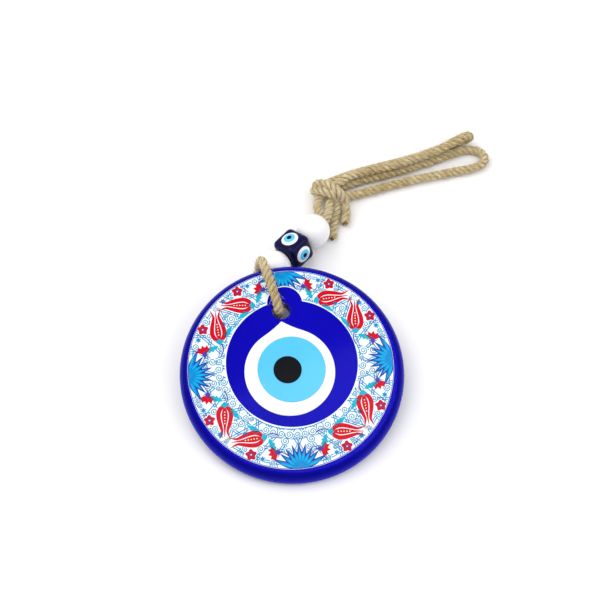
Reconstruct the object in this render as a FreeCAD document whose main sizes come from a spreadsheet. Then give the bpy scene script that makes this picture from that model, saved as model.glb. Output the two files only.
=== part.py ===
"""A glass evil eye wall ornament lying on its back, with its three beads and its jute rope.

Millimetres, +Z up, +Y from the disc's middle towards its hanging hole. The disc lies with its lower
edge on the ground and its upper edge raised. The row of beads rests on the ground beside that upper
edge, and the knot and the doubled hanging loop lie beyond it. The origin is on the ground, under the
middle of the glass pieces' bounding box.
"""
import FreeCAD, Part
import Sketcher
import math
import os

SIZES = [
    ("disc_radius", 55.6, "glass disc, widest"),
    ("disc_thickness", 9, "glass disc, back to front"),
    ("low_edge", 2.8, "radius of the edge next to the flat back"),
    ("front_radius", 51.4, "radius of the flat front"),
    ("front_edge", 7.14, "radius of the sloping edge next to the front"),
    ("disc_tilt", 9, "degrees that the upper edge is raised"),
    ("disc_across", 0.6, "disc's middle from the print's middle, across"),
    ("disc_up", -0.8, "disc's middle from the print's middle, up"),
    ("hole_radius", 4.5, "hanging hole in the disc"),
    ("hole_up", 30, "hanging hole above the middle of the print"),
    ("hole_break", 0.6, "rounding of the hole's two edges"),
    ("print_radius", 50.6, "printed ring, outside"),
    ("print_window", 32.4, "printed ring, round window"),
    ("print_window_across", 0.7, "window's middle across from the print's middle"),
    ("print_window_up", 2.4, "window's middle above the print's middle"),
    ("print_lobe", 8.75, "round lobe of the window about the hole"),
    ("print_lobe_up", 33.4, "lobe's middle above the print's middle"),
    ("print_turn", -3.9, "degrees that the print is turned against the hole"),
    ("print_thickness", 0.2, "film and its glaze"),
    ("white_radius", 22.2, "white drop, round part"),
    ("white_tip", 26.2, "white drop, middle to tip"),
    ("white_shoulder", 60, "hollow curve between round part and tip"),
    ("white_across", -0.9, "white drop's middle, across"),
    ("white_up", -2.1, "white drop's middle, up"),
    ("white_thickness", 0.7, "white layer"),
    ("white_round", 0.3, "rounding of the white layer's top edge"),
    ("iris_radius", 16.7, "light blue layer"),
    ("iris_across", 0.1, "light blue layer's middle, across"),
    ("iris_up", -1.1, "light blue layer's middle, up"),
    ("iris_thickness", 0.4, "light blue layer"),
    ("iris_round", 0.25, "rounding of the light blue layer's top edge"),
    ("pupil_radius", 6.9, "black layer"),
    ("pupil_across", -1.9, "black layer's middle, across"),
    ("pupil_up", -1.2, "black layer's middle, up"),
    ("pupil_thickness", 0.35, "black layer"),
    ("pupil_round", 0.2, "rounding of the black layer's top edge"),
    ("bead_radius", 9, "white ball beads"),
    ("bead_hole", 4.8, "radius of the hole through each bead"),
    ("bead_spacing", 30.4, "between the middles of the two ball beads"),
    ("row_across", 1.2, "lower bead's middle, across from the print's middle"),
    ("row_up", 60.6, "lower bead's middle, up from the print's middle"),
    ("row_angle", 38, "degrees from +X to the row of beads"),
    ("cube_side", 15.2, "cube bead, square to the rope"),
    ("cube_length", 14.4, "cube bead, along the rope"),
    ("cube_corner", 3, "rounding of the cube bead"),
    ("cube_turn", -21, "degrees that the cube bead is turned on the rope"),
    ("dome_height", 1.3, "eye on the cube bead, face to top"),
    ("dome_base", 4.5, "eye on the cube bead, white"),
    ("dome_iris", 3, "eye on the cube bead, light blue"),
    ("dome_pupil", 1.3, "eye on the cube bead, black"),
    ("rope_radius", 2.45, "three-strand jute rope"),
    ("core_radius", 4.2, "the two strands squeezed together inside the beads"),
    ("core_below", 12, "core's lower end from the lower bead's middle"),
    ("core_above", 10, "core's upper end from the upper bead's middle"),
    ("knot_long", 10, "knot, half its length"),
    ("knot_wide", 8.2, "knot, half its width"),
    ("knot_high", 7.2, "knot, half its height"),
    ("origin_across", -0.6, "print's middle from the origin, across"),
    ("origin_up", -16.04, "print's middle from the origin, up"),
]

# Routes of the rope: corner points of its middle line, from the point on the ground under the middle of
# the print's back. Every corner is rounded by an arc.
DISC_LOOP = [(-8.0, 53.3, 6.3), (-8.4, 47.2, 7.4), (-2.6, 39.5, 9.6), (-1.2, 30.8, 10.0), (-1.2, 28.4, 24.6),
             (-2.4, 38.0, 26.5), (-4.4, 49.0, 28.4), (-5.7, 56.6, 27.4), (-7.0, 57.2, 17.5), (-8.3, 54.1, 11.5)]
NECK_LEFT = [(32.1, 86.0, 9.2), (29.6, 92.0, 7.0), (31.2, 99.4, 6.6)]
NECK_RIGHT = [(33.2, 84.8, 8.8), (36.2, 91.4, 7.6), (37.4, 98.4, 7.0)]
TAIL_LONG = [(41.5, 97.4, 5.4), (40.2, 91.6, 3.1), (37.3, 85.0, 2.7), (35.4, 77.0, 2.7)]
TAIL_SHORT = [(45.0, 97.0, 5.6), (46.0, 91.2, 3.1), (43.4, 84.8, 2.7)]
LOOP_FRONT = [(49.0, 109.0, 2.7), (58.0, 110.8, 2.7), (70.0, 112.0, 2.7), (82.0, 113.6, 2.7),
              (94.0, 115.9, 2.7), (104.0, 118.2, 2.7), (112.0, 120.2, 2.7), (120.5, 121.4, 2.7),
              (127.3, 118.2, 2.7), (128.2, 111.6, 2.7), (121.5, 108.4, 2.7), (111.5, 107.9, 2.7),
              (100.0, 107.2, 2.7), (88.0, 106.5, 2.7), (76.0, 105.2, 2.7), (64.0, 103.7, 2.7),
              (50.5, 101.4, 2.7)]
LOOP_BACK = [(48.6, 110.8, 8.2), (58.0, 112.5, 8.1), (70.0, 113.6, 8.0), (82.0, 115.2, 8.0), (94.0, 117.5, 8.1),
             (105.0, 120.4, 8.6), (113.5, 123.4, 10.4), (119.8, 125.5, 10.6), (122.4, 126.4, 6.2),
             (118.6, 127.2, 2.7), (110.0, 125.6, 2.7), (100.0, 122.9, 2.7), (88.0, 120.3, 2.7),
             (76.0, 118.6, 2.7), (64.0, 117.3, 2.7), (48.8, 114.8, 2.7)]
KNOT_MIDDLE = (38.5, 102.5, 7.3)
KNOT_ANGLE = 25

X, Y, Z = FreeCAD.Vector(1, 0, 0), FreeCAD.Vector(0, 1, 0), FreeCAD.Vector(0, 0, 1)

doc = FreeCAD.newDocument("evil_eye_ornament")
sheet = doc.addObject("Spreadsheet::Sheet", "sizes")
for number, (alias, value, note) in enumerate(SIZES, start=1):
    sheet.set(f"A{number}", note)
    sheet.set(f"B{number}", str(value))
    sheet.setAlias(f"B{number}", alias)
doc.recompute()

nodes = []


def size(alias):
    """A driving dimension, read from the sheet."""
    return float(sheet.get(alias))


def bind(thing, **properties):
    """Tie properties to cells of the sheet, each by an expression in the cells' aliases."""
    for name, expression in properties.items():
        thing.setExpression(name, expression)
    return thing


def primitive(kind, name, **properties):
    return bind(doc.addObject(f"Part::{kind}", name), **properties)


def keep(thing, label, placement):
    """Make a finished piece a node: its label names its file."""
    thing.Label = label
    thing.Placement = placement
    nodes.append(thing)
    return thing


# ---------------------------------------------------------------- places
TILT = math.radians(size("disc_tilt"))
FLAT_BACK = size("disc_radius") - size("low_edge")
DISC_LIFT = (FLAT_BACK - size("disc_up")) * math.sin(TILT) + size("low_edge") * (1 - math.cos(TILT))
ROW = FreeCAD.Vector(math.cos(math.radians(size("row_angle"))), math.sin(math.radians(size("row_angle"))), 0)


def spot(across, up, height):
    """A point given from the ground under the print's middle, in the part's frame."""
    return FreeCAD.Vector(across + size("origin_across"), up + size("origin_up"), height)


def on_disc(across, up, height, turn=0):
    """A placement on the tilted disc, from the point of its back behind the print's middle."""
    disc = FreeCAD.Placement(spot(0, 0, DISC_LIFT), FreeCAD.Rotation(X, size("disc_tilt")))
    return disc * FreeCAD.Placement(FreeCAD.Vector(across, up, height), FreeCAD.Rotation(Z, turn))


def on_row(along, turn=0):
    """A placement on the beads' common axis, its own Z along the row and its own X straight up."""
    middle = spot(size("row_across"), size("row_up"), size("bead_radius")) + ROW * along
    upright = FreeCAD.Rotation(Z, ROW.cross(Z).negative(), ROW, "ZXY")
    return FreeCAD.Placement(middle, upright * FreeCAD.Rotation(Z, turn))


# ---------------------------------------------------------------- the glass disc
def plane(body, role):
    return next(p for p in body.Origin.OriginFeatures if p.Role == role)


def sketch_on(body, name, role):
    sketch = body.newObject("Sketcher::SketchObject", name)
    sketch.AttachmentSupport = [(plane(body, role), "")]
    sketch.MapMode = "FlatFace"
    return sketch


def arc(x, y, radius, start, end):
    circle = Part.Circle(FreeCAD.Vector(x, y, 0), Z, radius)
    return Part.ArcOfCircle(circle, math.radians(start), math.radians(end))


def line(x1, y1, x2, y2):
    return Part.LineSegment(FreeCAD.Vector(x1, y1, 0), FreeCAD.Vector(x2, y2, 0))


def constrain(sketch, *rules):
    """Add constraints; a rule that ends in text is a size, tied to the sheet by that text."""
    for rule in rules:
        if isinstance(rule[-1], str):
            index = sketch.addConstraint(Sketcher.Constraint(*rule[:-1]))
            sketch.setExpression(f"Constraints[{index}]", rule[-1])
        else:
            sketch.addConstraint(Sketcher.Constraint(*rule))


def disc_profile(body):
    """Half of the disc's section: flat back, rounded edge, sloping edge and flat front."""
    sketch = sketch_on(body, "disc_profile", "XZ_Plane")
    radius, low, thick = size("disc_radius"), size("low_edge"), size("disc_thickness")
    front, slope = size("front_radius"), size("front_edge")
    slope_end = math.degrees(math.asin((thick - low) / slope))
    sketch.addGeometry(line(0, 0, FLAT_BACK, 0))
    sketch.addGeometry(arc(FLAT_BACK, low, low, -90, 0))
    sketch.addGeometry(arc(radius - slope, low, slope, 0, slope_end))
    sketch.addGeometry(line(front, thick, 0, thick))
    sketch.addGeometry(line(0, thick, 0, 0))
    constrain(sketch,
              ("Coincident", 0, 1, -1, 1), ("Horizontal", 0), ("Tangent", 0, 2, 1, 1), ("Tangent", 1, 2, 2, 1),
              ("Coincident", 2, 2, 3, 1), ("Horizontal", 3), ("Coincident", 3, 2, 4, 1),
              ("Coincident", 4, 2, 0, 1), ("Vertical", 4), ("Horizontal", 1, 3, 1, 2),
              ("Radius", 1, low, "sizes.low_edge"),
              ("DistanceX", -1, 1, 1, 2, radius, "sizes.disc_radius"),
              ("DistanceX", -1, 1, 2, 2, front, "sizes.front_radius"),
              ("DistanceY", 4, 2, 4, 1, thick, "sizes.disc_thickness"))
    return sketch


def hole_outline(body):
    """The hole's circle, which is placed from the print's middle and not from the disc's."""
    sketch = sketch_on(body, "hole_outline", "XY_Plane")
    across, up, radius = -size("disc_across"), size("hole_up") - size("disc_up"), size("hole_radius")
    sketch.addGeometry(Part.Circle(FreeCAD.Vector(across, up, 0), Z, radius))
    constrain(sketch, ("DistanceX", 0, 3, -1, 1, -across, "sizes.disc_across"),
              ("DistanceY", -1, 1, 0, 3, up, "sizes.hole_up - sizes.disc_up"),
              ("Radius", 0, radius, "sizes.hole_radius"))
    return sketch


def edges_at(shape, test):
    return [f"Edge{n}" for n, edge in enumerate(shape.Edges, start=1) if test(edge)]


def round_edges(body, feature, name, test, radius):
    fillet = body.newObject("PartDesign::Fillet", name)
    fillet.Base = (feature, edges_at(feature.Shape, test))
    bind(fillet, Radius=f"sizes.{radius}")
    return fillet


def glass_disc():
    body = doc.addObject("PartDesign::Body", "glass_disc")
    sketch = disc_profile(body)
    turned = body.newObject("PartDesign::Revolution", "disc_turned")
    turned.Profile = sketch
    turned.ReferenceAxis = (sketch, ["V_Axis"])
    turned.Angle = 360
    hole = hole_outline(body)
    drilled = body.newObject("PartDesign::Pocket", "disc_drilled")
    drilled.Profile = hole
    drilled.Midplane = True
    bind(drilled, Length="4 * sizes.disc_thickness")
    doc.recompute()
    removed = turned.Shape.Volume - drilled.Shape.Volume
    expected = math.pi * size("hole_radius") ** 2 * size("disc_thickness")
    assert abs(removed - expected) < 1, f"the hole took {removed:.0f} mm3, not {expected:.0f}"

    def rims_the_hole(edge):
        return hasattr(edge.Curve, "Radius") and abs(edge.Curve.Radius - size("hole_radius")) < 1e-6 \
            and edge.Closed

    round_edges(body, drilled, "hole_rounded", rims_the_hole, "hole_break")
    keep(body, "glass_disc", on_disc(size("disc_across"), size("disc_up"), 0))


def printed_ring():
    """The film on the flat front, with a keyhole-shaped window."""
    sheet_of_print = primitive("Cylinder", "print_sheet", Radius="sizes.print_radius",
                               Height="sizes.print_thickness")
    window = primitive("Cylinder", "print_round_window", Radius="sizes.print_window",
                       Height="3 * sizes.print_thickness")
    bind(window, **{"Placement.Base.x": "sizes.print_window_across", "Placement.Base.y": "sizes.print_window_up",
                    "Placement.Base.z": "-sizes.print_thickness"})
    lobe = primitive("Cylinder", "print_hole_lobe", Radius="sizes.print_lobe",
                     Height="3 * sizes.print_thickness")
    bind(lobe, **{"Placement.Base.y": "sizes.print_lobe_up", "Placement.Base.z": "-sizes.print_thickness"})
    keyhole = doc.addObject("Part::Fuse", "print_keyhole")
    keyhole.Base, keyhole.Tool = window, lobe
    ring = doc.addObject("Part::Cut", "printed_ring")
    ring.Base, ring.Tool = sheet_of_print, keyhole
    keep(ring, "printed_ring", on_disc(0, 0, size("disc_thickness"), size("print_turn")))


def drop_sketch(body):
    """The white drop: a round part with two hollow shoulders that meet at a tip."""
    sketch = sketch_on(body, "drop_outline", "XY_Plane")
    radius, tip, shoulder = size("white_radius"), size("white_tip"), size("white_shoulder")
    centre_up = (tip ** 2 + radius ** 2 + 2 * radius * shoulder) / (2 * tip)
    centre_out = math.sqrt((radius + shoulder) ** 2 - centre_up ** 2)
    lean = math.degrees(math.atan2(centre_up, centre_out))
    to_tip = math.degrees(math.atan2(tip - centre_up, -centre_out)) + 360
    sketch.addGeometry(arc(0, 0, radius, 180 - lean, 360 + lean))
    sketch.addGeometry(arc(centre_out, centre_up, shoulder, to_tip, 180 + lean))
    sketch.addGeometry(arc(-centre_out, centre_up, shoulder, 360 - lean, 540 - to_tip))
    constrain(sketch, ("Coincident", 0, 3, -1, 1), ("Tangent", 0, 2, 1, 2), ("Tangent", 2, 1, 0, 1),
              ("Coincident", 1, 1, 2, 2), ("PointOnObject", 1, 1, -2), ("Equal", 1, 2),
              ("Radius", 0, radius, "sizes.white_radius"), ("Radius", 1, shoulder, "sizes.white_shoulder"),
              ("DistanceY", -1, 1, 1, 1, tip, "sizes.white_tip"))
    return sketch


def eye_white():
    body = doc.addObject("PartDesign::Body", "eye_white")
    pad = body.newObject("PartDesign::Pad", "drop_layer")
    pad.Profile = drop_sketch(body)
    bind(pad, Length="sizes.white_thickness")
    doc.recompute()

    def on_top(edge):
        return edge.BoundBox.ZMin > size("white_thickness") - 1e-6

    round_edges(body, pad, "drop_rounded", on_top, "white_round")
    keep(body, "eye_white", on_disc(size("white_across"), size("white_up"), size("disc_thickness")))


def round_layer(name, label, below):
    """A round fused layer with a rounded top edge, resting on what is below it."""
    blank = primitive("Cylinder", f"{name}_blank", Radius=f"sizes.{name}_radius",
                      Height=f"sizes.{name}_thickness")
    doc.recompute()
    layer = doc.addObject("Part::Fillet", label)
    layer.Base = blank
    top = edges_at(blank.Shape, lambda edge: edge.BoundBox.ZMin > size(f"{name}_thickness") - 1e-6)
    rounding = size(f"{name}_round")
    layer.Edges = [(int(edge[4:]), rounding, rounding) for edge in top]
    keep(layer, label, on_disc(size(f"{name}_across"), size(f"{name}_up"), below))


# ---------------------------------------------------------------- the beads
def ball_bead(label, along):
    ball = primitive("Sphere", f"{label}_ball", Radius="sizes.bead_radius")
    bore = primitive("Cylinder", f"{label}_bore", Radius="sizes.bead_hole", Height="4 * sizes.bead_radius")
    bind(bore, **{"Placement.Base.z": "-2 * sizes.bead_radius"})
    bead = doc.addObject("Part::Cut", label)
    bead.Base, bead.Tool = ball, bore
    keep(bead, label, on_row(along))


def cube_bead(along):
    blank = primitive("Box", "cube_blank", Length="sizes.cube_side", Width="sizes.cube_side",
                      Height="sizes.cube_length")
    for axis, measure in zip("xyz", ("cube_side", "cube_side", "cube_length")):
        bind(blank, **{f"Placement.Base.{axis}": f"-sizes.{measure} / 2"})
    doc.recompute()
    rounded = doc.addObject("Part::Fillet", "cube_rounded")
    rounded.Base = blank
    rounded.Edges = [(n, size("cube_corner"), size("cube_corner")) for n in range(1, 13)]
    bore = primitive("Cylinder", "cube_bore", Radius="sizes.bead_hole", Height="2 * sizes.cube_side")
    bind(bore, **{"Placement.Base.z": "-sizes.cube_side"})
    bead = doc.addObject("Part::Cut", "cube_bead")
    bead.Base, bead.Tool = rounded, bore
    keep(bead, "cube_bead", on_row(along, size("cube_turn")))


def cube_eyes(along):
    """Four domed eyes round the cube: a white foot, a light blue ring on it and a black plug in the ring."""
    height, base, iris = size("dome_height"), size("dome_base"), size("dome_iris")
    ball = (base ** 2 + height ** 2) / (2 * height)
    foot = height - ball + math.sqrt(ball ** 2 - iris ** 2)
    for face in range(1, 5):
        turn = size("cube_turn") + 90 * (face - 1)
        outward = on_row(along, turn) * FreeCAD.Placement(FreeCAD.Vector(size("cube_side") / 2, 0, 0),
                                                          FreeCAD.Rotation(Y, 90))

        def round_slab(name, radius, low, high):
            slab = primitive("Cylinder", f"cube_eye_{face}_{name}", Radius=radius)
            slab.Height = high - low
            slab.Placement.Base = FreeCAD.Vector(0, 0, low)
            return slab

        def cut_from_dome(layer, slab):
            dome = primitive("Sphere", f"cube_eye_{face}_{layer}_dome")
            dome.Radius = ball
            dome.Placement.Base = FreeCAD.Vector(0, 0, height - ball)
            piece = doc.addObject("Part::Common", f"cube_eye_{face}_{layer}_cut")
            piece.Base, piece.Tool = dome, slab
            return piece

        white = cut_from_dome("white", round_slab("foot", "2 * sizes.dome_base", 0, foot))
        capped = cut_from_dome("iris", round_slab("cap", "2 * sizes.dome_base", foot, ball))
        iris_ring = doc.addObject("Part::Cut", f"cube_eye_{face}_ring")
        iris_ring.Base, iris_ring.Tool = capped, round_slab("bore", "sizes.dome_pupil", 0, ball)
        pupil = cut_from_dome("pupil", round_slab("plug", "sizes.dome_pupil", foot, ball))
        keep(white, f"cube_eye_white_{face}", outward)
        keep(iris_ring, f"cube_eye_iris_{face}", outward)
        keep(pupil, f"cube_eye_pupil_{face}", outward)


# ---------------------------------------------------------------- the rope
def rounded_path(points):
    """Straight runs joined by tangent arcs, each as large as its two runs allow, and the arcs' radii."""
    edges, radii, here = [], [], points[0]
    for before, corner, after in zip(points, points[1:], points[2:]):
        run_in, run_out = corner - before, after - corner
        shorter = min(run_in.Length, run_out.Length)
        half_turn = run_in.getAngle(run_out) / 2
        reach = 0.45 * shorter
        radius = reach / math.tan(half_turn)
        run_in.normalize()
        run_out.normalize()
        start, end = corner - run_in * reach, corner + run_out * reach
        inward = run_out - run_in
        inward.normalize()
        middle = corner + inward * (radius / math.cos(half_turn) - radius)
        edges += [Part.LineSegment(here, start).toShape(), Part.Arc(start, middle, end).toShape()]
        radii.append(radius)
        here = end
    edges.append(Part.LineSegment(here, points[-1]).toShape())
    return Part.Wire(edges), radii


def rope_tube(label, route):
    path, radii = rounded_path([spot(*point) for point in route])
    start = path.Edges[0]
    ring = Part.Circle(start.Vertexes[0].Point, start.tangentAt(start.FirstParameter), size("rope_radius"))
    solid = path.makePipeShell([Part.Wire([ring.toShape()])], True, False)
    expected = math.pi * size("rope_radius") ** 2 * path.Length
    assert abs(solid.Volume / expected - 1) < 0.01, f"{label}: {solid.Volume:.0f} mm3, not {expected:.0f}"
    print(label, f"{path.Length:.0f} mm long, radii", " ".join(f"{radius:.1f}" for radius in radii))
    tube = doc.addObject("Part::Feature", label)
    tube.Shape = solid
    keep(tube, label, FreeCAD.Placement())


def rope_core():
    """The two strands where the beads squeeze them together."""
    core = primitive("Cylinder", "rope_core", Radius="sizes.core_radius",
                     Height="sizes.core_below + sizes.bead_spacing + sizes.core_above")
    keep(core, "rope_core", on_row(-size("core_below")))


def rope_knot():
    knot = primitive("Ellipsoid", "rope_knot", Radius1="sizes.knot_high", Radius2="sizes.knot_long",
                     Radius3="sizes.knot_wide")
    keep(knot, "rope_knot", FreeCAD.Placement(spot(*KNOT_MIDDLE), FreeCAD.Rotation(Z, KNOT_ANGLE)))


# ---------------------------------------------------------------- the whole
glass_disc()
printed_ring()
eye_white()
on_white = size("disc_thickness") + size("white_thickness")
round_layer("iris", "eye_iris", on_white)
round_layer("pupil", "eye_pupil", on_white + size("iris_thickness"))
ball_bead("lower_bead", 0)
ball_bead("upper_bead", size("bead_spacing"))
cube_bead(size("bead_spacing") / 2)
cube_eyes(size("bead_spacing") / 2)
rope_core()
rope_knot()
for rope_label, rope_route in (("rope_disc_loop", DISC_LOOP), ("rope_neck_left", NECK_LEFT),
                               ("rope_neck_right", NECK_RIGHT), ("rope_tail_long", TAIL_LONG),
                               ("rope_tail_short", TAIL_SHORT), ("rope_loop_front", LOOP_FRONT),
                               ("rope_loop_back", LOOP_BACK)):
    rope_tube(rope_label, rope_route)

doc.recompute()
for thing in doc.Objects:
    bad = {"Invalid", "Error"} & set(thing.State)
    assert not bad, f"{thing.Label}: {thing.State}"
for node in nodes:
    assert not node.Shape.isNull() and node.Shape.isValid(), f"{node.Label}: no valid shape"

os.makedirs("parts", exist_ok=True)
for node in nodes:
    node.Shape.exportStep(f"parts/{node.Label}.step")
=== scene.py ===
"""The looks of the evil eye wall ornament: cobalt glass disc with a printed floral border, domed glass
eyes, white ball beads and one continuous three-strand jute rope, lying on a pale floor.

Lengths are millimetres in the code that draws, and metres once they are in Blender.
"""
import math
import random
import bmesh
import bpy
from mathutils import Matrix, Vector, noise


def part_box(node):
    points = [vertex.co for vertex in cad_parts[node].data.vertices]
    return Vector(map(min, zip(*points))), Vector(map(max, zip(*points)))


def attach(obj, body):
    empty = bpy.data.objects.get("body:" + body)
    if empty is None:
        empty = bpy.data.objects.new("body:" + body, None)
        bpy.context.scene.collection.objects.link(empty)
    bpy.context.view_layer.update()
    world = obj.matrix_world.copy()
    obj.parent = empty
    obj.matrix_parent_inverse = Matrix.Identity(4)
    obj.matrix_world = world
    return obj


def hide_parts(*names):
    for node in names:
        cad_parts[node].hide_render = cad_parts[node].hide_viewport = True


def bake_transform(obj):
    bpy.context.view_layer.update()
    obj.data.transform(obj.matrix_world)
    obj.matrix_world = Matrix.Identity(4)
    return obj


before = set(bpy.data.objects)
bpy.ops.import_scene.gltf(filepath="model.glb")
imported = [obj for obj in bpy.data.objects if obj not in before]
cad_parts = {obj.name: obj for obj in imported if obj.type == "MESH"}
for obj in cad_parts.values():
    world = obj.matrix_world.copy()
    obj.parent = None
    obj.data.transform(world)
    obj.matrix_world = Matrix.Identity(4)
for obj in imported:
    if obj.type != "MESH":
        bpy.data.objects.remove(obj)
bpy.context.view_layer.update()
bpy.context.scene.view_settings.view_transform = "Standard"
draw = random.Random(11)
MM = 0.001

# ---------------------------------------------------------------- sizes of the CAD part, and places
TILT = math.radians(9)                # upper edge of the disc raised
DISC_THICKNESS = 9
FLAT_BACK, LOW_EDGE = 52.8, 2.8       # radius of the flat back, and of the edge next to it
DISC_OFF_PRINT = Vector((0.6, -0.8))  # the disc's middle from the print's
HOLE_UP, HOLE_RADIUS = 30, 4.5
PRINT_TURN = math.radians(-3.9)
PRINT_RADIUS, FILM = 50.6, 0.2
WINDOW_RADIUS, WINDOW_ACROSS, WINDOW_UP = 32.4, 0.7, 2.4
LOBE_RADIUS, LOBE_UP = 8.75, 33.4
OPENINGS = ((Vector((WINDOW_ACROSS, WINDOW_UP)), WINDOW_RADIUS), (Vector((0, LOBE_UP)), LOBE_RADIUS))
ROW_START, ROW_ANGLE = Vector((1.2, 60.6, 9)), math.radians(38)
ROW = Vector((math.cos(ROW_ANGLE), math.sin(ROW_ANGLE), 0))
ROW_SIDE = Vector((math.sin(ROW_ANGLE), -math.cos(ROW_ANGLE), 0))
UP = Vector((0, 0, 1))


def middle_of(node):
    low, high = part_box(node)
    return (Vector(low) + Vector(high)) / 2


GROUND = middle_of("lower_bead") - ROW_START * MM       # on the floor under the print's middle
DISC_LIFT = (FLAT_BACK - DISC_OFF_PRINT.y) * math.sin(TILT) + LOW_EDGE * (1 - math.cos(TILT))
DISC = Matrix.Translation(GROUND + UP * DISC_LIFT * MM) @ Matrix.Rotation(TILT, 4, "X")
PRINT = DISC @ Matrix.Translation(UP * DISC_THICKNESS * MM) @ Matrix.Rotation(PRINT_TURN, 4, "Z")


def place(point):
    """A point given in millimetres from the floor under the print's middle, in metres in the scene."""
    return GROUND + Vector(point) * MM


# ---------------------------------------------------------------- camera, light and floor
CAMERA_FROM_GROUND = (-37.6, -250.2, 549.9)
CAMERA_ELEVATION, CAMERA_HEADING = math.radians(61.5), math.radians(9.6)


def add_camera():
    data = bpy.data.cameras.new("camera")
    data.lens = 72
    data.clip_end = 10
    camera = bpy.data.objects.new("camera", data)
    camera.location = place(CAMERA_FROM_GROUND)
    camera.rotation_euler = (math.pi / 2 - CAMERA_ELEVATION, 0, -CAMERA_HEADING)
    bpy.context.scene.collection.objects.link(camera)
    bpy.context.scene.camera = camera


def add_area_light(name, from_ground, size, power):
    data = bpy.data.lights.new(name, "AREA")
    data.shape = "RECTANGLE"
    data.size, data.size_y = size
    data.energy = power
    light = bpy.data.objects.new(name, data)
    light.location = place(from_ground)
    light.rotation_euler = (place((20, 20, 0)) - light.location).to_track_quat("-Z", "Y").to_euler()
    bpy.context.scene.collection.objects.link(light)


def add_stage():
    world = bpy.data.worlds.new("studio")
    world.use_nodes = True
    world.node_tree.nodes["Background"].inputs["Color"].default_value = (1, 1, 1, 1)
    world.node_tree.nodes["Background"].inputs["Strength"].default_value = 0.74
    bpy.context.scene.world = world
    add_area_light("key", (-420, 330, 760), (0.8, 0.8), 3.8)
    add_area_light("fill", (480, -260, 640), (0.6, 0.6), 1.35)
    add_area_light("overhead", (30, -20, 750), (0.45, 0.2), 0.5)
    mesh = bpy.data.meshes.new("floor")
    half = 3
    mesh.from_pydata([(x, y, 0) for x, y in ((-half, -half), (half, -half), (half, half), (-half, half))],
                     [], [(0, 1, 2, 3)])
    floor = bpy.data.objects.new("floor", mesh)
    bpy.context.scene.collection.objects.link(floor)
    paper = Material("floor_paper", (0.93, 0.93, 0.94), roughness=0.7)
    mesh.materials.append(paper.made)


# ---------------------------------------------------------------- materials
class Material:
    """A Principled material with a few procedural layers that can be added to its sockets."""

    def __init__(self, name, colour, roughness=0.4, **sockets):
        self.made = bpy.data.materials.new(name)
        self.made.use_nodes = True
        self.tree = self.made.node_tree
        self.shader = self.tree.nodes["Principled BSDF"]
        self.set(**{"Base Color": (*colour, 1), "Roughness": roughness})
        self.set(**sockets)
        self.made.diffuse_color = (*colour, 1)

    def set(self, **sockets):
        for socket, value in sockets.items():
            self.shader.inputs[socket.replace("_", " ")].default_value = value

    def node(self, kind, **inputs):
        made = self.tree.nodes.new(f"ShaderNode{kind}")
        for socket, value in inputs.items():
            made.inputs[socket.replace("_", " ")].default_value = value
        return made

    def link(self, out, into):
        self.tree.links.new(out, into)

    def where(self):
        """Coordinates that stay with the object as it moves."""
        return self.node("TexCoord").outputs["Object"]

    def speckle(self, scale, detail=3.0, coordinates=None, stretch=None, roughness=0.5):
        """A noise between 0 and 1, stretched if asked."""
        cloud = self.node("TexNoise", Scale=scale, Detail=detail, Roughness=roughness)
        source = coordinates or self.where()
        if stretch:
            mapping = self.node("Mapping", Scale=stretch)
            self.link(source, mapping.inputs["Vector"])
            source = mapping.outputs["Vector"]
        self.link(source, cloud.inputs["Vector"])
        return cloud.outputs["Fac"]

    def ramp(self, source, *stops):
        """Colours or greys by position; a stop is (position, colour)."""
        made = self.tree.nodes.new("ShaderNodeValToRGB")
        elements = made.color_ramp.elements
        while len(elements) < len(stops):
            elements.new(0.5)
        for element, (position, colour) in zip(elements, stops):
            element.position = position
            element.color = (*colour, 1) if isinstance(colour, tuple) else (colour, colour, colour, 1)
        self.link(source, made.inputs["Fac"])
        return made.outputs["Color"]

    def mix(self, factor, first, second, kind="MIX"):
        made = self.tree.nodes.new("ShaderNodeMix")
        made.data_type = "RGBA"
        made.blend_type = kind
        for value, socket in ((factor, "Factor_Float"), (first, "A_Color"), (second, "B_Color")):
            target = next(s for s in made.inputs if s.identifier == socket)
            if isinstance(value, bpy.types.NodeSocket):
                self.link(value, target)
            else:
                target.default_value = (*value, 1) if isinstance(value, tuple) else value
        return next(s for s in made.outputs if s.identifier == "Result_Color")

    def shade(self):
        """The red channel of the mesh's colour attribute."""
        attribute = self.node("Attribute")
        attribute.attribute_name = "shade"
        parts = self.node("SeparateColor")
        self.link(attribute.outputs["Color"], parts.inputs["Color"])
        return parts.outputs["Red"]

    def vector(self, operation, source, other=None):
        """A vector operation on a socket, with a fixed second vector if it takes one."""
        made = self.node("VectorMath")
        made.operation = operation
        self.link(source, made.inputs[0])
        if other is not None:
            made.inputs[1].default_value = other
        return made.outputs["Value" if operation in ("DOT_PRODUCT", "LENGTH") else "Vector"]

    def drive(self, socket, source):
        self.link(source, self.shader.inputs[socket])

    def bump(self, height, strength, distance):
        made = self.node("Bump", Strength=strength, Distance=distance)
        self.link(height, made.inputs["Height"])
        self.link(made.outputs["Normal"], self.shader.inputs["Normal"])


def glossy(name, colour, shade, scale=60, coat=0.05, roughness=0.12, waviness=0.00002, level=0.3):
    """Fired glass or print: a faint cloudiness in the colour and the sheen, and a gently uneven face."""
    material = Material(name, colour, roughness, **{"Coat Weight": coat, "Coat Roughness": 0.04, "IOR": 1.5,
                                                    "Specular IOR Level": level})
    cloud = material.speckle(scale)
    material.drive("Base Color", material.ramp(cloud, (0.3, shade), (0.7, colour)))
    material.drive("Roughness", material.ramp(material.speckle(scale * 3), (0.3, roughness * 0.7),
                                              (0.7, roughness * 1.5)))
    material.bump(material.speckle(scale * 1.5, 1.5), 0.25, waviness)
    return material.made


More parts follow.
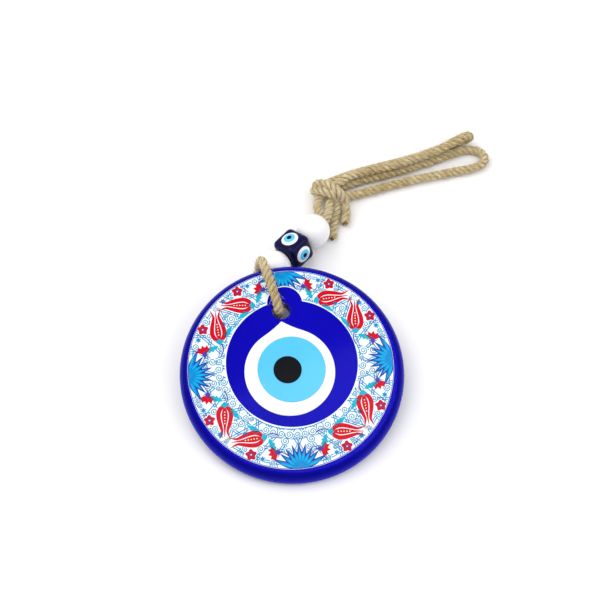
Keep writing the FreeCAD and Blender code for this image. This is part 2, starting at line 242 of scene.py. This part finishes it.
# ---------------------------------------------------------------- the rope
ROPE_DIAMETER = 4.9
STRAND_RADIUS = 1.2
LAY_LENGTH = 9.4                      # one full turn of the three strands
SQUEEZED = 0.84                       # rope diameter inside the beads, of its free diameter
BEADS_FROM, BEADS_TO = -12, 42        # where the press of the beads begins and ends along the row
PRESS_RAMP, PRESS_REACH = 4, 5        # the length it builds up over, and how far off the axis it acts
STRAND_SIDES = 14
BUNDLES, BUNDLE_TWIST = 5, 900        # low ridges round a strand, and their turn in radians per metre
FIBRES = 2600
FIBRE_LENGTHS, FIBRE_RADII = (1.2, 4.6), (0.035, 0.06)
FLOOR_GAP = 0.0002                    # metres that a fibre keeps above the floor


def in_row(along, aside, lift):
    """A point of a strand inside the beads: along the row, off its axis sideways and upwards."""
    return ROW_START + ROW * along + ROW_SIDE * aside + UP * lift


# The rope's route, as corner points of its middle line: the same stretches as in the CAD part, which has a
# plain solid for the knot and for the strands inside the beads, so only those turns are added here.
DISC_LOOP = [(-8.0, 53.3, 6.3), (-8.4, 47.2, 7.4), (-2.6, 39.5, 9.6), (-1.2, 30.8, 10.0),
             (-1.2, 28.4, 24.6), (-2.4, 38.0, 26.5), (-4.4, 49.0, 28.4), (-5.7, 56.6, 27.4),
             (-7.0, 57.2, 17.5), (-8.3, 54.1, 11.5)]
NECK_LEFT = [(32.1, 86.0, 9.2), (29.6, 92.0, 7.0), (31.2, 99.4, 6.6)]
NECK_RIGHT = [(33.2, 84.8, 8.8), (36.2, 91.4, 7.6), (37.4, 98.4, 7.0)]
TAIL_LONG = [(41.5, 97.4, 5.4), (40.2, 91.6, 3.1), (37.3, 85.0, 2.7), (35.4, 77.0, 2.7)]
TAIL_SHORT = [(45.0, 97.0, 5.6), (46.0, 91.2, 3.1), (43.4, 84.8, 2.7)]
LOOP_FRONT = [(49.0, 109.0, 2.7), (58.0, 110.8, 2.7), (70.0, 112.0, 2.7), (82.0, 113.6, 2.7),
              (94.0, 115.9, 2.7), (104.0, 118.2, 2.7), (112.0, 120.2, 2.7), (120.5, 121.4, 2.7),
              (127.3, 118.2, 2.7), (128.2, 111.6, 2.7), (121.5, 108.4, 2.7), (111.5, 107.9, 2.7),
              (100.0, 107.2, 2.7), (88.0, 106.5, 2.7), (76.0, 105.2, 2.7), (64.0, 103.7, 2.7),
              (50.5, 101.4, 2.7)]
LOOP_BACK = [(48.6, 110.8, 8.2), (58.0, 112.5, 8.1), (70.0, 113.6, 8.0), (82.0, 115.2, 8.0),
             (94.0, 117.5, 8.1), (105.0, 120.4, 8.6), (113.5, 123.4, 10.4), (119.8, 125.5, 10.6),
             (122.4, 126.4, 6.2), (118.6, 127.2, 2.7), (110.0, 125.6, 2.7), (100.0, 122.9, 2.7),
             (88.0, 120.3, 2.7), (76.0, 118.6, 2.7), (64.0, 117.3, 2.7), (48.8, 114.8, 2.7)]
KNOT_INNER_TURN = [(41, 98, 10), (37, 99, 13), (33, 102, 12), (30, 105, 8), (31, 107, 4), (36, 107, 2.7),
                   (42, 107, 2.7)]
KNOT_RIGHT_ENTRY = [(44, 101, 6)]
KNOT_LEFT_EXIT = [(37, 103, 7.5)]
KNOT_OUTER_TURN = [(41, 112.5, 2.7), (34, 110.5, 3), (31.5, 108.5, 7), (33, 107, 12), (38, 103.5, 14),
                   (42, 99, 14), (45, 96, 10)]
BEADS_DOWN = [in_row(36, 2.1, 0), in_row(24, 2.1, 0), in_row(12, 1.9, -0.9), in_row(0, 1.7, -1.3),
              in_row(-8, 1.6, -1.4)]
BEADS_UP = [in_row(-8, -1.6, 1.4), in_row(0, -1.7, 1.3), in_row(12, -1.9, 0.9), in_row(24, -2.1, 0),
            in_row(36, -2.1, 0)]
ROUTE = (TAIL_LONG[::-1] + KNOT_INNER_TURN + LOOP_FRONT + KNOT_RIGHT_ENTRY + NECK_RIGHT[::-1] + BEADS_DOWN
         + DISC_LOOP + BEADS_UP + NECK_LEFT + KNOT_LEFT_EXIT + LOOP_BACK + KNOT_OUTER_TURN + TAIL_SHORT)


def smooth_line(name, corners):
    """Points read from a NURBS spline that has these corners as its control points."""
    curve = bpy.data.curves.new(name, "CURVE")
    curve.dimensions = "3D"
    spline = curve.splines.new("NURBS")
    spline.points.add(len(corners) - 1)
    for point, corner in zip(spline.points, corners):
        point.co = (*place(corner), 1)
    spline.order_u = 3
    spline.use_endpoint_u = True
    spline.resolution_u = 16
    holder = bpy.data.objects.new(name, curve)
    mesh = bpy.data.meshes.new_from_object(holder)
    points = [vertex.co.copy() for vertex in mesh.vertices]
    bpy.data.objects.remove(holder)
    bpy.data.meshes.remove(mesh)
    return points


def evenly(points, step):
    """The same line with its points a fixed step apart."""
    travelled = [0.0]
    for here, there in zip(points, points[1:]):
        travelled.append(travelled[-1] + (there - here).length)
    count = round(travelled[-1] / step)
    spaced, index = [], 0
    for n in range(count + 1):
        goal = travelled[-1] * n / count
        while index < len(points) - 2 and travelled[index + 1] < goal:
            index += 1
        share = (goal - travelled[index]) / (travelled[index + 1] - travelled[index])
        spaced.append(points[index].lerp(points[index + 1], min(1.0, share)))
    return spaced


def frames_along(points):
    """At each point the direction, and two directions square to it that don't spin along the line."""
    directions = [(b - a).normalized() for a, b in zip(points, points[1:])]
    directions = ([directions[0]] + [(a + b).normalized() for a, b in zip(directions, directions[1:])]
                  + [directions[-1]])
    across = directions[0].orthogonal().normalized()
    frames = []
    for direction in directions:
        across = (across - direction * across.dot(direction)).normalized()
        frames.append((direction, across, direction.cross(across)))
    return frames


def squeeze_at(point):
    """How far the beads press the rope together at this point."""
    along = ((point - GROUND) / MM - ROW_START).dot(ROW)
    off = ((point - GROUND) / MM - ROW_START - ROW * along).length
    if off > PRESS_REACH:
        return 1
    first, last = (min(1, max(0, inside / PRESS_RAMP)) for inside in (along - BEADS_FROM, BEADS_TO - along))
    return 1 - (1 - SQUEEZED) * first * last


def add_tube(bm, layers, centres, radii, sides, colour_of, lobes=0):
    """A tube of varying radius, with its length and its girth kept as a UV map and its shade as a colour."""
    uv, shade = layers
    frames = frames_along(centres)
    rings, travelled = [], 0.0
    for n, (centre, radius, (_, across, other)) in enumerate(zip(centres, radii, frames)):
        if n:
            travelled += (centre - centres[n - 1]).length
        ring = []
        for side in range(sides):
            angle = math.tau * side / sides
            bulge = 1 + lobes * math.cos(BUNDLES * angle + travelled * BUNDLE_TWIST)
            out = across * math.cos(angle) + other * math.sin(angle)
            ring.append(bm.verts.new(centre + out * radius * bulge))
        rings.append((ring, travelled, n))
    for (ring, start, n), (following, end, _) in zip(rings, rings[1:]):
        for side in range(sides):
            after = (side + 1) % sides
            face = bm.faces.new((ring[side], ring[after], following[after], following[side]))
            face.smooth = True
            corners = ((side, start, n), (side + 1, start, n), (side + 1, end, n + 1), (side, end, n + 1))
            for loop, (turn, length, index) in zip(face.loops, corners):
                loop[uv].uv = (turn / sides, length)
                loop[shade] = colour_of(index, turn % sides, sides)
    for (ring, length, n), flip in ((rings[0], True), (rings[-1], False)):
        face = bm.faces.new(ring[::-1] if flip else ring)
        for loop in face.loops:
            loop[uv].uv = (0, length)
            loop[shade] = colour_of(n, 0, sides)


def rope_strands(bm, layers, line):
    """Three strands laid round the rope's middle line."""
    frames = frames_along(line)
    step = (line[1] - line[0]).length / MM
    for strand in range(3):
        centres, radii, outwards = [], [], []
        turn = math.tau * strand / 3
        for n, (point, (_, across, other)) in enumerate(zip(line, frames)):
            wander = 0.10 * noise.noise(Vector((n * step * 0.11, strand * 7.3, 0)))
            angle = turn + math.tau * n * step / LAY_LENGTH + wander * 2
            out = across * math.cos(angle) + other * math.sin(angle)
            tight = squeeze_at(point)
            swell = 1 + 0.07 * noise.noise(Vector((n * step * 0.33, strand * 3.1, 5)))
            centres.append(point + out * (ROPE_DIAMETER / 2 - STRAND_RADIUS) * tight * MM)
            radii.append(STRAND_RADIUS * tight * swell * MM)
            outwards.append(out)
        strand_frames = frames_along(centres)

        # painted shade: how far each spot of a strand faces out of the rope, kept so the jute material can
        # darken the grooves
        def shade(index, side, sides):
            angle = math.tau * side / sides
            _, across, other = strand_frames[index]
            facing = (across * math.cos(angle) + other * math.sin(angle)).dot(outwards[index])
            level = min(1.0, max(0.0, 0.5 + 0.5 * facing))
            return (level, strand / 2, 0, 1)

        add_tube(bm, layers, centres, radii, STRAND_SIDES, shade, lobes=0.035)


def rope_fibres(bm, layers, line):
    """Stray fibres that stand off the rope, thin and curved."""
    frames = frames_along(line)
    for _ in range(FIBRES):
        n = draw.randrange(6, len(line) - 6)
        if squeeze_at(line[n]) < 1:
            continue
        direction, across, other = frames[n]
        angle = draw.uniform(0, math.tau)
        out = across * math.cos(angle) + other * math.sin(angle)
        around = direction.cross(out)
        way = (direction * draw.choice((-1, 1)) + out * draw.uniform(0.15, 0.9)
               + around * draw.uniform(-0.7, 0.7)).normalized()
        length = draw.uniform(*FIBRE_LENGTHS) * MM
        droop = Vector((draw.uniform(-1, 1), draw.uniform(-1, 1), draw.uniform(-1, 0.4))) * length * 0.35
        root = line[n] + out * ROPE_DIAMETER * 0.44 * MM
        spots = [root + way * length * t + droop * t * t for t in (0, 0.35, 0.7, 1)]
        spots = [Vector((s.x, s.y, max(s.z, FLOOR_GAP))) for s in spots]
        thick = draw.uniform(*FIBRE_RADII) * MM
        level = draw.uniform(0.7, 1)
        add_tube(bm, layers, spots, [thick, thick, thick * 0.8, thick * 0.4], 3,
                 lambda index, side, sides: (level, 0.5, 1, 1))


def jute():
    """Dry jute: straw-coloured fibre bundles, with painted shade in the grooves between the strands, with a
    dull, hairy surface.
    """
    material = Material("jute", (0.62, 0.47, 0.27), 0.82, **{"Sheen Weight": 0.25, "Sheen Roughness": 0.5,
                                                              "Specular IOR Level": 0.25})
    uv = material.node("UVMap").outputs["UV"]
    fibres = material.speckle(1.0, 4, uv, (26, 330, 1), 0.65)
    patches = material.speckle(1.0, 3, uv, (1.5, 170, 1))
    long_patches = material.speckle(38, 2)
    straw = material.ramp(fibres, (0.34, (0.13, 0.088, 0.030)), (0.47, (0.43, 0.325, 0.145)),
                          (0.56, (0.74, 0.62, 0.34)), (0.68, (0.98, 0.92, 0.66)))
    warm = material.mix(material.ramp(patches, (0.35, 0.0), (0.65, 0.55)), straw, (0.62, 0.47, 0.22),
                        "MULTIPLY")
    uneven = material.mix(material.ramp(long_patches, (0.35, 0.0), (0.7, 0.25)), warm, (0.95, 0.86, 0.66))
    # painted shade: the sides of the strands that face into the rope are darkened, as if shaded in the
    # grooves
    painted_groove_shade = material.ramp(material.shade(), (0.20, (0.16, 0.10, 0.045)), (0.62, (0.74, 0.68, 0.56)),
                           (0.85, (1, 1, 1)))
    material.drive("Base Color", material.mix(1.0, uneven, painted_groove_shade, "MULTIPLY"))
    material.bump(fibres, 1.0, 0.00035)
    return material.made


def jute_fibre():
    """Single fibres of the same jute, paler where they stand off the rope."""
    material = Material("jute_fibre", (0.80, 0.66, 0.42), 0.75, **{"Specular IOR Level": 0.3})
    material.drive("Base Color", material.ramp(material.shade(), (0.0, (0.45, 0.32, 0.15)),
                                               (1.0, (0.85, 0.72, 0.48))))
    return material.made


def tube_mesh():
    """An empty mesh with the two layers that a tube fills."""
    bm = bmesh.new()
    return bm, (bm.loops.layers.uv.new("UVMap"), bm.loops.layers.float_color.new("shade"))


def add_rope():
    line = evenly(smooth_line("rope_route", ROUTE), 0.5 * MM)
    bm, layers = tube_mesh()
    rope_strands(bm, layers, line)
    rope = finished("jute_rope", bm, [jute()])
    bm, layers = tube_mesh()
    rope_fibres(bm, layers, line)
    fuzz = finished("rope_fuzz", bm, [jute_fibre()])
    for piece in (rope, fuzz):
        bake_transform(piece)
    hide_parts("rope_disc_loop", "rope_core", "rope_neck_left", "rope_neck_right", "rope_knot",
                "rope_tail_long", "rope_tail_short", "rope_loop_front", "rope_loop_back")


def finished(name, bm, materials, body=None):
    """A mesh object from drawn geometry, with its materials, riding on a body."""
    mesh = bpy.data.meshes.new(name)
    bm.to_mesh(mesh)
    bm.free()
    for material in materials:
        mesh.materials.append(material)
    made = bpy.data.objects.new(name, mesh)
    bpy.context.scene.collection.objects.link(made)
    if body:
        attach(made, body)
    return made


# ---------------------------------------------------------------- finishes of the CAD pieces
def paint(material, *nodes):
    for node in nodes:
        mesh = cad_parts[node].data
        mesh.materials.clear()
        mesh.materials.append(material)


def cobalt():
    """Cast cobalt glass, with painted light and shade by height: darker at the very bottom, a painted glow
    low on the edge, painted shade just under the print; frosted in the hole, where a paler lilac blue is
    painted for the light that comes through the glass.
    """
    material = Material("cobalt_glass", (0.004, 0.0, 0.42), 0.1, **{"IOR": 1.5, "Specular IOR Level": 0.07})
    normal = (DISC.to_3x3() @ UP).normalized()
    height = material.vector("DOT_PRODUCT", material.where(), normal)
    level = material.node("MapRange", From_Min=DISC.translation.dot(normal),
                          From_Max=DISC.translation.dot(normal) + DISC_THICKNESS * MM)
    material.link(height, level.inputs["Value"])
    # painted light and shade by height in the disc: dark at the very bottom, a painted glow low on the edge,
    # painted shade just under the print
    painted_rim_light_and_shade = material.ramp(level.outputs["Result"], (0.0, (0.002, 0.002, 0.16)), (0.14, (0.003, 0.001, 0.46)),
                          (0.45, (0.001, 0.0, 0.54)), (0.92, (0.0, 0.0, 0.24)), (1.0, (0.002, 0.0, 0.46)))
    cloud = material.ramp(material.speckle(20, 2), (0.3, (0.72, 0.72, 0.78)), (0.7, (1, 1, 1)))
    clouded_painted_rim_light = material.mix(1.0, painted_rim_light_and_shade, cloud, "MULTIPLY")
    across = material.vector("SUBTRACT", material.where(), DISC @ (Vector((0, HOLE_UP, 0)) * MM))
    reach = material.vector("LENGTH", material.vector("CROSS_PRODUCT", across, normal))
    outside = material.node("MapRange", From_Min=(HOLE_RADIUS - 0.2) * MM, From_Max=(HOLE_RADIUS + 0.3) * MM)
    material.link(reach, outside.inputs["Value"])
    # painted light: a paler lilac blue with a fine grain in the hole, standing for the blue light that comes
    # through the glass; the rough wall is the frosting
    grainy_painted_hole_light = material.ramp(material.speckle(900, 3), (0.35, (0.03, 0.03, 0.36)),
                              (0.65, (0.08, 0.08, 0.50)))
    material.drive("Base Color", material.mix(outside.outputs["Result"], grainy_painted_hole_light, clouded_painted_rim_light))
    material.drive("Roughness", material.ramp(outside.outputs["Result"], (0.0, 0.6), (1.0, 0.09)))
    material.bump(material.speckle(35, 1.5), 0.25, 0.00003)
    return material.made


def finish_cad_pieces():
    faces = range(1, 5)
    paint(cobalt(), "glass_disc")
    paint(glossy("film_white", (0.84, 0.89, 0.93), (0.78, 0.86, 0.90)), "printed_ring")
    paint(glossy("white_glass", (0.91, 0.92, 0.925), (0.88, 0.89, 0.91)), "eye_white",
          *[f"cube_eye_white_{n}" for n in faces])
    paint(glossy("light_blue_glass", (0.09, 0.56, 0.90), (0.075, 0.51, 0.87), 30), "eye_iris",
          *[f"cube_eye_iris_{n}" for n in faces])
    paint(glossy("black_glass", (0.003, 0.004, 0.005), (0.005, 0.006, 0.008), coat=0, level=0.06),
          "eye_pupil", *[f"cube_eye_pupil_{n}" for n in faces])
    paint(glossy("white_bead_glaze", (0.92, 0.92, 0.925), (0.89, 0.89, 0.90), 120, 0.2, 0.18),
          "lower_bead", "upper_bead")
    paint(glossy("dark_blue_glass", (0.003, 0.003, 0.028), (0.003, 0.003, 0.065), 90, 0.02, level=0.12),
          "cube_bead")


# ---------------------------------------------------------------- the printed border
LAYER = 0.03                          # each ink stands this much higher than the one under it
INKS = {
    "ink_white": ((0.84, 0.89, 0.93), (0.80, 0.87, 0.91)),
    "ink_line_blue": ((0.0, 0.20, 0.50), (0.01, 0.32, 0.62)),
    "ink_teal": ((0.0, 0.21, 0.38), (0.01, 0.29, 0.47)),
    "ink_dark_blue": ((0.006, 0.035, 0.32), (0.01, 0.06, 0.40)),
    "ink_sky": ((0.0, 0.21, 0.56), (0.0, 0.28, 0.64)),
    "ink_pale_sky": ((0.0, 0.36, 0.70), (0.01, 0.42, 0.74)),
    "ink_turquoise": ((0.0, 0.36, 0.54), (0.02, 0.44, 0.62)),
    "ink_red": ((0.64, 0.0, 0.012), (0.54, 0.0, 0.02)),
    "ink_crimson": ((0.46, 0.002, 0.02), (0.56, 0.004, 0.02)),
    "ink_cream": ((0.90, 0.84, 0.62), (0.86, 0.78, 0.52)),
    "ink_purple": ((0.06, 0.03, 0.30), (0.10, 0.05, 0.36)),
}
INK_NUMBER = {name: number for number, name in enumerate(INKS)}
SCROLL_ROWS, SCROLLS_TRIED = 12, 110  # rings of places for scrolls, and places tried in each ring
DIAGONALS = (45, 135, 225, 315)
AXES = (0, 90, 180, 270)


def round_about(angle, radius):
    """A place on the print: degrees clockwise from its upper side, and distance from its middle."""
    return Vector((radius * math.sin(math.radians(angle)), radius * math.cos(math.radians(angle))))


def room(point):
    """How far inside the printed area a place is; negative outside it."""
    return min(PRINT_RADIUS - point.length,
               *((point - middle).length - radius for middle, radius in OPENINGS))


def kept_in(point, margin=0.45):
    """The place itself, or the nearest one that is inside the printed area."""
    if point.length > PRINT_RADIUS - margin:
        point = point.normalized() * (PRINT_RADIUS - margin)
    for middle, radius in OPENINGS:
        if (point - middle).length < radius + margin:
            point = middle + (point - middle).normalized() * (radius + margin)
    return point


def smooth_outline(corners, steps=4):
    """A closed curve through the corners."""
    points, count = [], len(corners)
    for n in range(count):
        before, here, there, after = (Vector(corners[(n + k) % count]) for k in (-1, 0, 1, 2))
        for step in range(steps):
            t = step / steps
            points.append(0.5 * (2 * here + (there - before) * t
                                 + (2 * before - 5 * here + 4 * there - after) * t ** 2
                                 + (3 * here - before - 3 * there + after) * t ** 3))
    return points


def petal(length, width, bend=0.0, blunt=0.55):
    """A pointed petal growing along +Y, bending sideways towards its tip."""
    sides = []
    for side in (1, -1):
        row = []
        for n in range(1, 9):
            t = n / 9
            half = width / 2 * math.sin(math.pi * t ** blunt)
            row.append(Vector((side * half + bend * t * t, length * t)))
        sides.append(row)
    return [Vector((0, 0))] + sides[0] + [Vector((bend, length))] + sides[1][::-1]


def grown(outline, amount):
    """The outline with its points moved outwards."""
    middle = sum(outline, Vector((0, 0))) / len(outline)
    return [point + (point - middle).normalized() * amount for point in outline]


class Print:
    """Flat closed pieces of ink, laid on the film in layers and joined in one mesh."""

    def __init__(self):
        self.bm = bmesh.new()
        self.taken = []

    def lay(self, outline, layer, ink, foot=Vector((0, 0)), heading=0.0, scale=1.0, clip=True):
        """Lay an outline whose own origin goes to foot and whose +Y goes to heading, clockwise degrees."""
        turn = Matrix.Rotation(-math.radians(heading), 2)
        spots = [foot + turn @ (Vector(point) * scale) for point in outline]
        if clip:
            spots = [kept_in(spot) for spot in spots]
        low, high = FILM + 0.004, FILM + LAYER * layer
        bottom, top = ([self.bm.verts.new(PRINT @ (Vector((*spot, level)) * MM)) for spot in spots]
                       for level in (low, high))
        faces = [self.bm.faces.new(top), self.bm.faces.new(bottom[::-1])]
        for n in range(len(spots)):
            after = (n + 1) % len(spots)
            faces.append(self.bm.faces.new((bottom[n], bottom[after], top[after], top[n])))
        for face in faces:
            face.material_index = INK_NUMBER[ink]

    def line(self, points, width, layer, ink):
        """A line of ink along points, cut off where the printed area ends."""
        run = []
        for point in [*points, None]:
            if point is not None and room(point) > 0.5:
                run.append(point)
                continue
            if len(run) > 2:
                self.lay(ribbon(run, width), layer, ink, clip=False)
            run = []

    def straight(self, start, end, width, layer, ink):
        count = max(3, int((end - start).length / 0.5))
        self.line([start.lerp(end, n / count) for n in range(count + 1)], width, layer, ink)

    def take(self, spot, radius):
        """Mark a round patch as drawn on, so that no scroll is put there."""
        self.taken.append((spot, radius))

    def free(self, spot, radius):
        return all((spot - middle).length > radius + size for middle, size in self.taken)


def ribbon(points, width):
    left, right = [], []
    for n, point in enumerate(points):
        ahead = points[min(n + 1, len(points) - 1)] - points[max(n - 1, 0)]
        side = Vector((-ahead.y, ahead.x)).normalized() * width / 2
        left.append(point + side)
        right.append(point - side)
    return left + right[::-1]


def bowed(start, bow, end, steps=12):
    """Points of a curved stem that leaves start towards bow and comes from there to end."""
    return [start.lerp(bow, n / steps).lerp(bow.lerp(end, n / steps), n / steps) for n in range(steps + 1)]


def draw_lattice(ink):
    """Interlaced double lines in three directions, which leave stars and six-sided fields between them."""
    inner, outer, count, lean = 28.8, 50.2, 36, 16.6
    lines = []
    for n in range(count):
        start = 360 * n / count
        for side in (-1, 1):
            lines.append((round_about(start, inner), round_about(start + side * lean, outer)))
    for number, radius in enumerate((35.4, 41.8, 48.2, 30.6)):
        for n in range(count):
            start = 360 * (n + 0.5 * number) / count
            lines.append((round_about(start, radius), round_about(start + 360 / count, radius)))
    for start, end in lines:
        side = Vector((start.y - end.y, end.x - start.x)).normalized() * 0.52
        for offset in (side, -side):
            ink.straight(start + offset, end + offset, 0.46, 1, "ink_line_blue")


def draw_palmette(ink, axis):
    """A fan of pointed petals that stands on the outer edge and opens inwards."""
    foot, heading = round_about(axis, 50.1), axis + 180
    fan = ((-76, 14.8, 3.3, -2.6), (76, 14.8, 3.3, 2.6), (-56, 12.4, 3.3, -1.3), (56, 12.4, 3.3, 1.3),
           (-36, 12.2, 3.2, -0.6), (36, 12.2, 3.2, 0.6), (-17, 12.2, 3.2, -0.2), (17, 12.2, 3.2, 0.2),
           (0, 12.6, 3.4, 0))
    for lean, length, width, bend in fan:
        ink.lay(grown(petal(length, width, -bend), 0.35), 2, "ink_white", foot, heading + lean)
    for number, (lean, length, width, bend) in enumerate(fan):
        lift = 0.1 * number
        ink.lay(petal(length, width, -bend), 3 + lift, "ink_dark_blue", foot, heading + lean)
        ink.lay(petal(length - 2.6, width - 1.35, -bend * 0.8), 4 + lift, "ink_sky",
                foot + round_about(heading + lean, 0.35), heading + lean)
        ink.lay(petal(length * 0.45, width * 0.3, -bend * 0.3, 0.8), 5 + lift, "ink_pale_sky",
                foot + round_about(heading + lean, length * 0.26), heading + lean)
    ink.lay([round_about(60 * n, 0.55) for n in range(6)], 7, "ink_crimson", foot)
    for reach in (3, 7, 10):
        ink.take(round_about(axis, 50 - reach), 3.0)
    for side in (-10, 10):
        ink.take(round_about(axis + side, 47.2), 3)


TULIP_SIDE = [(0.0, 0.0), (-2.5, 0.8), (-3.95, 3.9), (-3.6, 7.4), (-2.5, 10.6), (-1.8, 13.0), (-2.5, 16.3),
              (-0.75, 13.0), (-1.0, 10.2), (-1.75, 6.6), (-1.8, 3.8), (-0.7, 1.6)]
TULIP_MIDDLE = [(0.0, 0.6), (-1.35, 3.8), (-1.25, 7.0), (-0.55, 10.4), (0.1, 15.6), (0.55, 10.4), (1.25, 7.0),
                (1.35, 3.8)]
CALYX = [(0, -1.5), (-0.9, -0.9), (-2.3, 0.9), (-1.0, 0.6), (0, 1.5), (1.0, 0.6), (2.3, 0.9), (0.9, -0.9)]


def mirrored(outline):
    return [(-x, y) for x, y in outline][::-1]


def draw_tulip(ink, diagonal, side):
    """A tulip that leans towards the diagonal, with its stem from the window's edge."""
    foot, tip = round_about(diagonal + side * 19.5, 37.4), round_about(diagonal + side * 2.6, 47.2)
    ahead = tip - foot
    heading = math.degrees(math.atan2(ahead.x, ahead.y))
    scale = ahead.length / 15.2
    curve = round_about(diagonal + side * 22, 33.5)
    start = round_about(diagonal + side * 30, 34.6)
    stem = bowed(start, curve, foot)
    ink.line(stem, 1.1, 2, "ink_white")
    ink.line(stem, 0.55, 3, "ink_dark_blue")
    whole = smooth_outline([*TULIP_SIDE[:7], (-0.2, 16.6), *mirrored(TULIP_SIDE[:7])])
    ink.lay(grown(whole, 0.5), 2, "ink_white", foot, heading, scale)
    for outline in (TULIP_SIDE, mirrored(TULIP_SIDE), TULIP_MIDDLE):
        ink.lay(smooth_outline(outline), 3, "ink_red", foot, heading, scale)
    for row in range(5):
        spot = foot + round_about(heading, (3.4 + row * 1.35) * scale)
        ink.lay([round_about(60 * n, 0.34) for n in range(6)], 4, "ink_cream", spot)
    ink.lay(smooth_outline(CALYX), 5, "ink_turquoise", foot, heading, scale)
    for share in (0.2, 0.5, 0.8):
        ink.take(foot.lerp(tip, share), 3.2)


def draw_leaf(ink, foot, heading, length):
    """A turquoise leaf with saw teeth."""
    outline = [(0, 0)]
    teeth = 4
    for side in (1, -1):
        row = []
        for n in range(teeth):
            t = (n + 0.5) / (teeth + 0.5)
            half = 1.75 * math.sin(math.pi * min(1, t + 0.08) ** 0.75)
            row += [(side * half, length * (t + 0.1)), (side * half * 0.55, length * (t + 0.14))]
        outline += row + [(0.3, length)] if side == 1 else row[::-1]
    ink.lay(grown([Vector(point) for point in outline], 0.3), 2, "ink_white", foot, heading)
    ink.lay(outline, 3, "ink_turquoise", foot, heading)
    ink.take(foot + round_about(heading, length / 2), length / 2)


def draw_carnation(ink, axis, side):
    """A small fringed flower that opens away from the palmette, on a blue calyx and a curved stem."""
    foot = round_about(axis + side * 13.4, 42.6)
    heading = axis + side * 78
    fringe = [(0, 0)]
    for n in range(9):
        reach = 5.3 if n % 2 == 0 else 3.9
        lean = math.radians(-56 + 14 * n)
        fringe.append((reach * math.sin(lean), reach * math.cos(lean)))
    ink.lay(grown([Vector(point) for point in fringe], 0.4), 2, "ink_white", foot, heading)
    ink.lay(fringe, 3, "ink_red", foot, heading)
    ink.lay(petal(2.9, 2.4, 0, 0.9), 4, "ink_purple", foot - round_about(heading, 1.0), heading)
    base = round_about(axis + side * 2, 48.6)
    bow = round_about(axis + side * 7, 42.5)
    stem = bowed(base, bow, foot)
    ink.line(stem, 0.4, 3, "ink_dark_blue")
    ink.take(foot + round_about(heading, 2), 2.6)


def draw_flower(ink, spot, size):
    """A five-petalled red flower with a purple middle."""
    def five(radius, wave):
        return [round_about(360 * n / 40, radius * (1 + wave * math.cos(math.tau * n / 8)))
                for n in range(40)]
    ink.lay(five(size * 1.16, 0.14), 2, "ink_white", spot)
    ink.lay(five(size, 0.17), 3, "ink_crimson", spot)
    ink.lay(five(size * 0.36, 0.3), 4, "ink_purple", spot)
    ink.lay(five(size * 0.14, 0), 5, "ink_cream", spot)
    ink.take(spot, size)


def draw_star(ink, spot, size, turn):
    def star(radius):
        return [round_about(turn + 30 * n, radius if n % 2 == 0 else radius * 0.5) for n in range(12)]
    ink.lay(star(size * 1.35), 2, "ink_white", spot)
    ink.lay(star(size), 3, "ink_sky", spot)
    ink.take(spot, size)


def draw_spiral(ink, spot, size, hand):
    """A fine scroll on a white patch."""
    ink.lay([round_about(24 * n, size * 1.08) for n in range(15)], 1.5, "ink_white", spot)
    turns, steps = 1.8, 39
    points = [spot + round_about(hand * 360 * turns * t, size * (0.12 + 0.88 * t))
              for t in (n / steps for n in range(steps + 1))]
    ink.line(points, 0.4, 2, "ink_teal")
    ink.take(spot, size * 0.9)


def printed_border():
    ink = Print()
    draw_lattice(ink)
    for axis in AXES:
        draw_palmette(ink, axis)
        for side in (-1, 1):
            draw_carnation(ink, axis, side)
    for diagonal in DIAGONALS:
        for side in (-1, 1):
            draw_tulip(ink, diagonal, side)
            draw_flower(ink, round_about(diagonal + side * 16, 47.6), 2.45)
            draw_leaf(ink, round_about(diagonal + side * 23, 37.2), diagonal + side * 66, 8.6)
            draw_leaf(ink, round_about(diagonal + side * 15, 35.8), diagonal - side * 78, 7.4)
        draw_star(ink, round_about(diagonal + 5.5, 48.0), 1.8, 20)
        draw_star(ink, round_about(diagonal - 6, 40.0), 1.5, 5)
        draw_star(ink, round_about(diagonal + 23, 47.6), 1.6, 10)
        draw_star(ink, round_about(diagonal - 23, 47.6), 1.6, 10)
    for least, most in ((1.7, 2.2), (1.1, 1.4)):
        for row in range(SCROLL_ROWS):
            radius = 30.5 + row * 1.6
            for n in range(SCROLLS_TRIED):
                spot = round_about(360 * n / SCROLLS_TRIED + radius * 7, radius)
                size = draw.uniform(least, most)
                if ink.free(spot, size * 0.8) and room(spot) > size + 0.5:
                    draw_spiral(ink, spot, size, draw.choice((-1, 1)))
    edge = [round_about(n * 3, PRINT_RADIUS - 0.3) for n in range(121)]
    for start, end in zip(edge, edge[1:]):
        ink.lay(ribbon([start, end], 0.3), 2, "ink_dark_blue", clip=False)
    materials = [glossy(name, colour, shade, 400, 0, level=0.12) for name, (colour, shade) in INKS.items()]
    finished("printed_border", ink.bm, materials, "disc")


add_camera()
add_stage()
finish_cad_pieces()
printed_border()
add_rope()
